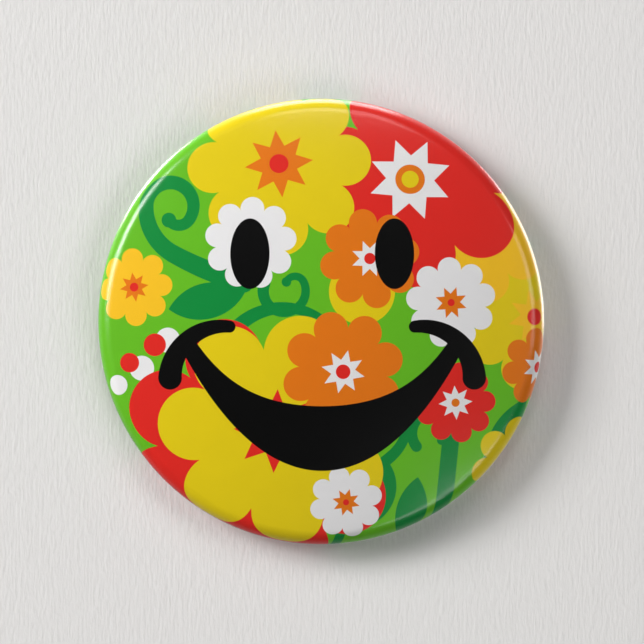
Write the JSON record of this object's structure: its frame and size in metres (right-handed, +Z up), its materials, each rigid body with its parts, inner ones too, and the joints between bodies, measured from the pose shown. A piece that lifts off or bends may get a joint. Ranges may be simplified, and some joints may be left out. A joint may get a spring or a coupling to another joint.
{
  "type": "pin-back button badge",
  "caption": "Round domed pin-back button badge: clear film over a printed paper face, rolled shell rim, stamped back plate and a sprung safety pin with an open catch.",
  "frame": {"origin": "centre of the flat ring behind the rim, in the plane that lies against the cloth", "axes": "+X to the right seen from the front, +Z up as worn, +Y from the face towards the wearer"},
  "size_m": [0.0572, 0.0078, 0.0572],
  "materials": {
    "clear_film": "clear glossy polyester film",
    "printed_paper": "coated paper printed in flat spot colours",
    "tinplate_shell": "pressed tinplate, bright",
    "tinplate_back": "stamped tinplate with a fine rolled grain",
    "nickel_wire": "nickel-plated spring wire"
  },
  "bodies": {
    "badge": {"clear_film": "clear_film", "printed_paper": "printed_paper", "front_shell": "tinplate_shell", "back_plate": "tinplate_back", "pin_fixed_leg": "nickel_wire"},
    "coil": {"pin_coil": "nickel_wire"},
    "needle": {"pin_needle": "nickel_wire"}
  },
  "joints": [
    {"name": "needle_squeeze", "type": "hinge", "parent": "badge", "child": "coil", "pos_m": [0.01553, -0.00208, 0.002], "axis": [0, 1, 0], "range_deg": [0, 6], "stiffness_Nm_per_rad": 0.3, "springref_deg": -8.59},
    {"name": "needle_lift", "type": "hinge", "parent": "coil", "child": "needle", "pos_m": [0.01212, -0.00042, -0.0002], "axis": [0, 0, -1], "range_deg": [0, 60], "stiffness_Nm_per_rad": 0.1}
  ]
}
